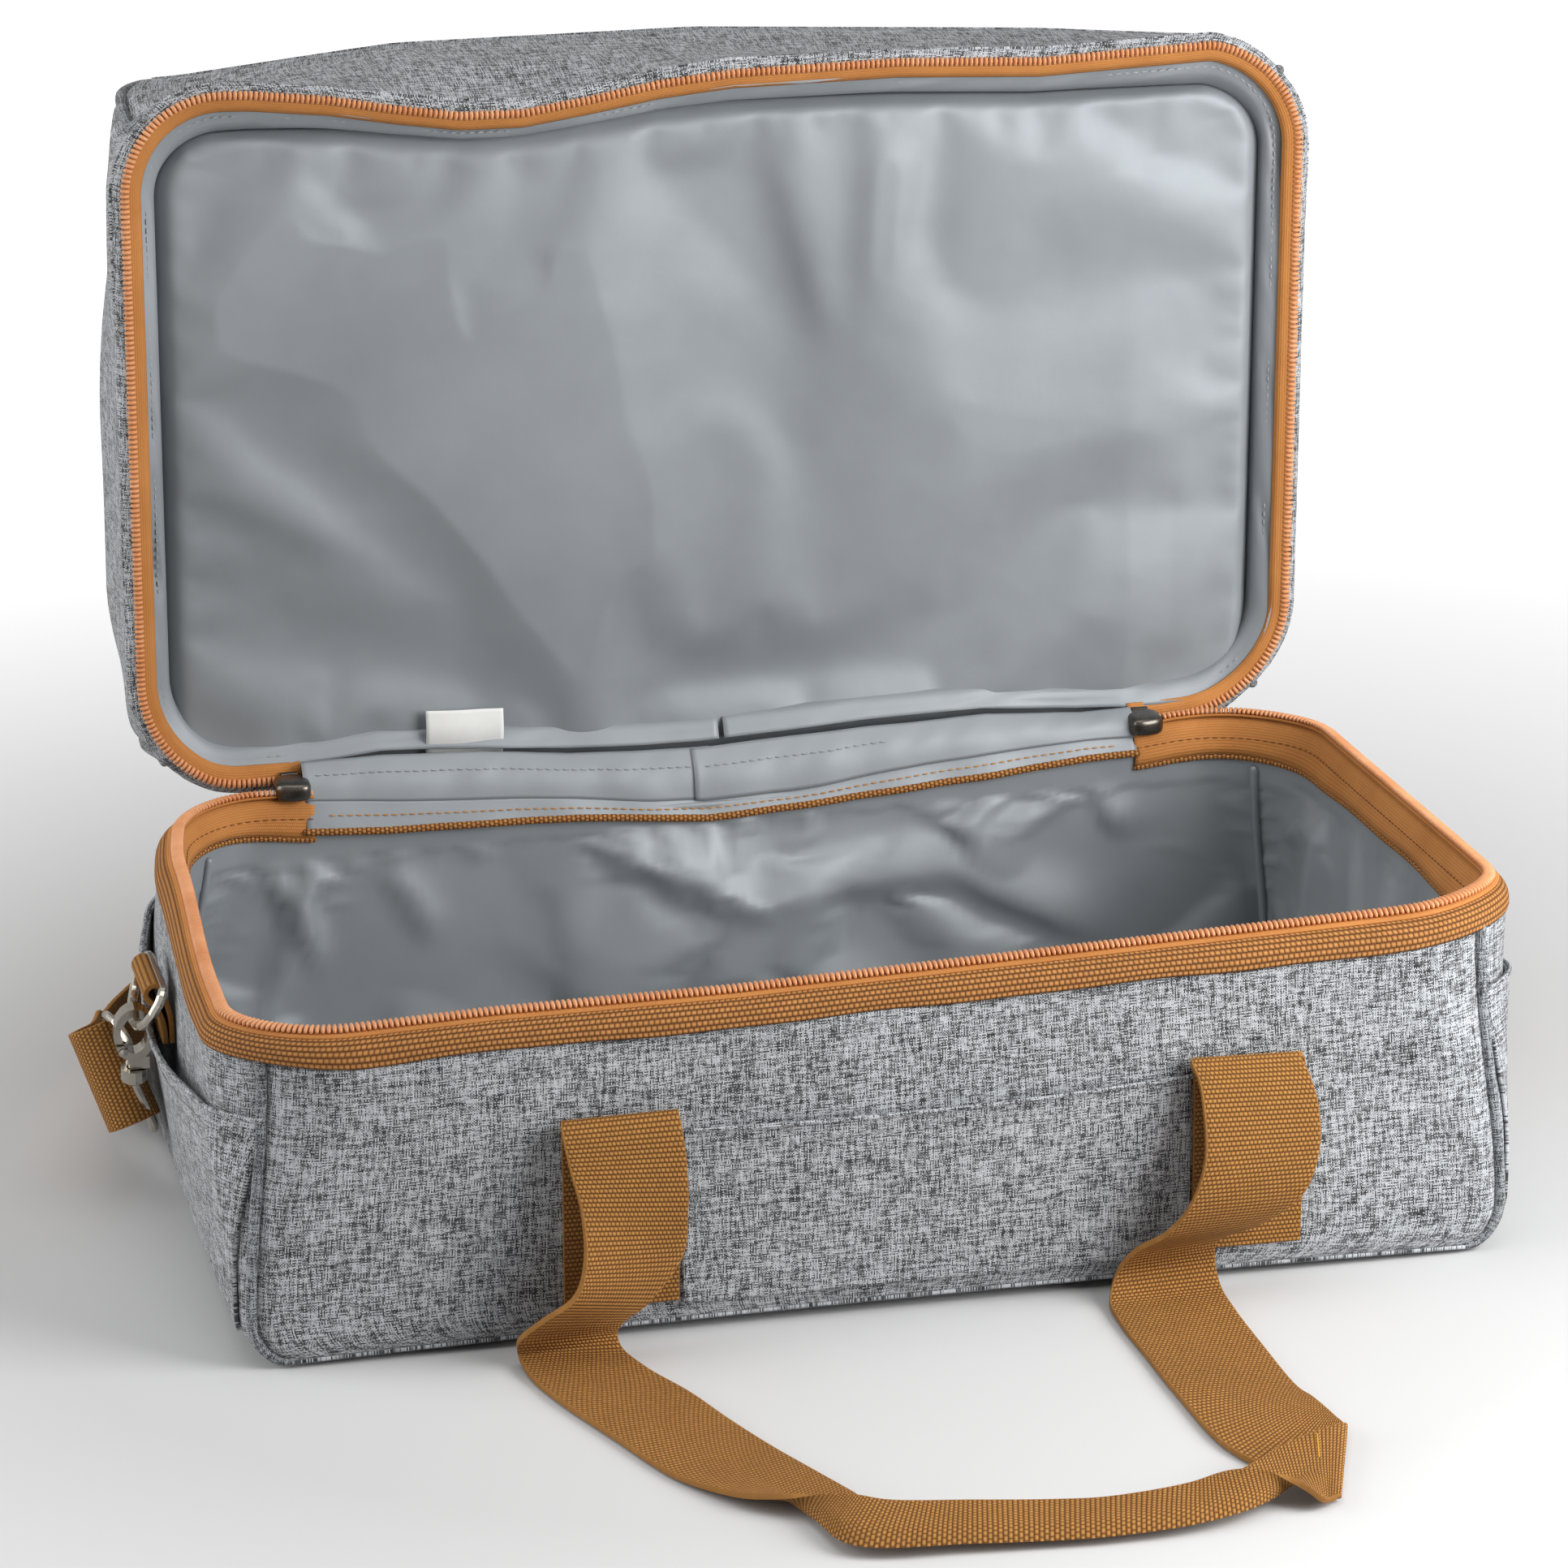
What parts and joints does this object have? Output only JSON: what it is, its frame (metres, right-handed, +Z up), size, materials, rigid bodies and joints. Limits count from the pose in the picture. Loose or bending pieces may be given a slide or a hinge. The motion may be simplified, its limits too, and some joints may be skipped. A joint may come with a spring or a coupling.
{
  "type": "insulated picnic bag",
  "caption": "Open rectangular insulated cloth bag with a zipped hinged lid, soft lining, webbing handle loops and a clip-on shoulder strap.",
  "frame": {"origin": "middle of the underside of the base, on the floor", "axes": "+X to the bag's right as seen from its front, +Y to the hinge at the back, +Z up"},
  "size_m": [0.503, 0.6912, 0.3847],
  "materials": {
    "melange_cloth": "woven grey cloth",
    "piping_cloth": "covered cord",
    "foam": "soft closed-cell sheet",
    "foil_lining": "soft satin film",
    "ribbon": "coarse woven ribbon",
    "zip_tape": "fine tape and moulded coil",
    "webbing": "ribbed webbing",
    "nickel": "bright warm plating",
    "dark_metal": "dark plated",
    "label_cloth": "plain white"
  },
  "bodies": {
    "base": {"base_front_panel": "melange_cloth", "base_front_piping": "piping_cloth", "base_right_panel": "melange_cloth", "base_back_panel": "melange_cloth", "base_back_piping": "piping_cloth", "base_left_panel": "melange_cloth", "base_bottom_panel": "melange_cloth", "base_bottom_foam": "foam", "base_front_foam": "foam", "base_right_foam": "foam", "base_back_foam": "foam", "base_left_foam": "foam", "base_lining": "foil_lining", "rim_binding": "ribbon", "base_zip": "zip_tape", "base_hinge_strip": "foil_lining", "front_left_handle_tail": "webbing", "front_right_handle_tail": "webbing", "rear_left_handle_tail": "webbing", "rear_right_handle_tail": "webbing", "front_pocket": "melange_cloth", "left_pocket": "melange_cloth", "right_pocket": "melange_cloth", "left_ring_tab": "webbing", "right_ring_tab": "webbing", "shoulder_strap": "webbing", "strap_adjuster": "dark_metal"},
    "lid": {"lid_front_panel": "melange_cloth", "lid_front_piping": "piping_cloth", "lid_left_panel": "melange_cloth", "lid_right_panel": "melange_cloth", "lid_back_panel": "melange_cloth", "lid_back_piping": "piping_cloth", "lid_top_panel": "melange_cloth", "lid_top_foam": "foam", "lid_wall_foam": "foam", "lid_lining": "foil_lining", "lid_zip": "zip_tape", "lid_hinge_strip": "foil_lining", "care_label": "label_cloth"},
    "front_handle": {"front_handle": "webbing"},
    "rear_handle": {"rear_handle": "webbing"},
    "left_slider": {"left_zip_slider": "dark_metal"},
    "left_pull": {"left_zip_pull": "dark_metal"},
    "left_ring": {"left_d_ring": "nickel", "left_bail": "nickel", "left_strap_end": "webbing"},
    "left_hook": {"left_hook": "nickel", "left_gate_rivet": "nickel"},
    "left_gate": {"left_hook_gate": "nickel"},
    "right_slider": {"right_zip_slider": "dark_metal"},
    "right_pull": {"right_zip_pull": "dark_metal"},
    "right_ring": {"right_d_ring": "nickel", "right_bail": "nickel", "right_strap_end": "webbing"},
    "right_hook": {"right_hook": "nickel", "right_gate_rivet": "nickel"},
    "right_gate": {"right_hook_gate": "nickel"}
  },
  "joints": [
    {"name": "lid_hinge", "type": "hinge", "parent": "base", "child": "lid", "pos_m": [0, 0.1302, 0.1213], "axis": [1, 0, 0], "range_deg": [-15, 87]},
    {"name": "front_handle_swing", "type": "hinge", "parent": "base", "child": "front_handle", "pos_m": [0.015, -0.1345, 0.079], "axis": [-1, 0, 0], "range_deg": [0, 105]},
    {"name": "rear_handle_swing", "type": "hinge", "parent": "base", "child": "rear_handle", "pos_m": [0.015, 0.1345, 0.079], "axis": [1, 0, 0], "range_deg": [0, 60]},
    {"name": "left_slider_slide", "type": "slide", "parent": "base", "child": "left_slider", "axis": [-1, 0, 0], "range_m": [0, 0.01]},
    {"name": "left_pull_swing", "type": "hinge", "parent": "left_slider", "child": "left_pull", "pos_m": [-0.1623, 0.1312, 0.1214], "axis": [1, 0, 0], "range_deg": [0, 35]},
    {"name": "left_ring_swing", "type": "hinge", "parent": "base", "child": "left_ring", "pos_m": [-0.228, 0.009, 0.093], "axis": [0, 1, 0], "range_deg": [0, 100]},
    {"name": "left_hook_turn", "type": "hinge", "parent": "left_ring", "child": "left_hook", "pos_m": [-0.2365, 0.01018, 0.07175], "axis": [0, 0.2504, -0.9681], "range_deg": [-10, 10]},
    {"name": "left_gate_swing", "type": "hinge", "parent": "left_hook", "child": "left_gate", "pos_m": [-0.24045, 0.01191, 0.06506], "axis": [0, 0.9681, 0.2504], "range_deg": [0, 18], "stiffness_Nm_per_rad": 0.01, "springref_deg": -11.46},
    {"name": "right_slider_slide", "type": "slide", "parent": "base", "child": "right_slider", "axis": [1, 0, 0], "range_m": [0, 0.01]},
    {"name": "right_pull_swing", "type": "hinge", "parent": "right_slider", "child": "right_pull", "pos_m": [0.1623, 0.1312, 0.1214], "axis": [1, 0, 0], "range_deg": [0, 35]},
    {"name": "right_ring_swing", "type": "hinge", "parent": "base", "child": "right_ring", "pos_m": [0.228, 0.009, 0.093], "axis": [0, -1, 0], "range_deg": [0, 100]},
    {"name": "right_hook_turn", "type": "hinge", "parent": "right_ring", "child": "right_hook", "pos_m": [0.2365, 0.01018, 0.07175], "axis": [0, 0.2504, -0.9681], "range_deg": [-10, 10]},
    {"name": "right_gate_swing", "type": "hinge", "parent": "right_hook", "child": "right_gate", "pos_m": [0.24045, 0.01191, 0.06506], "axis": [0, -0.9681, -0.2504], "range_deg": [0, 18], "stiffness_Nm_per_rad": 0.01, "springref_deg": -11.46}
  ]
}
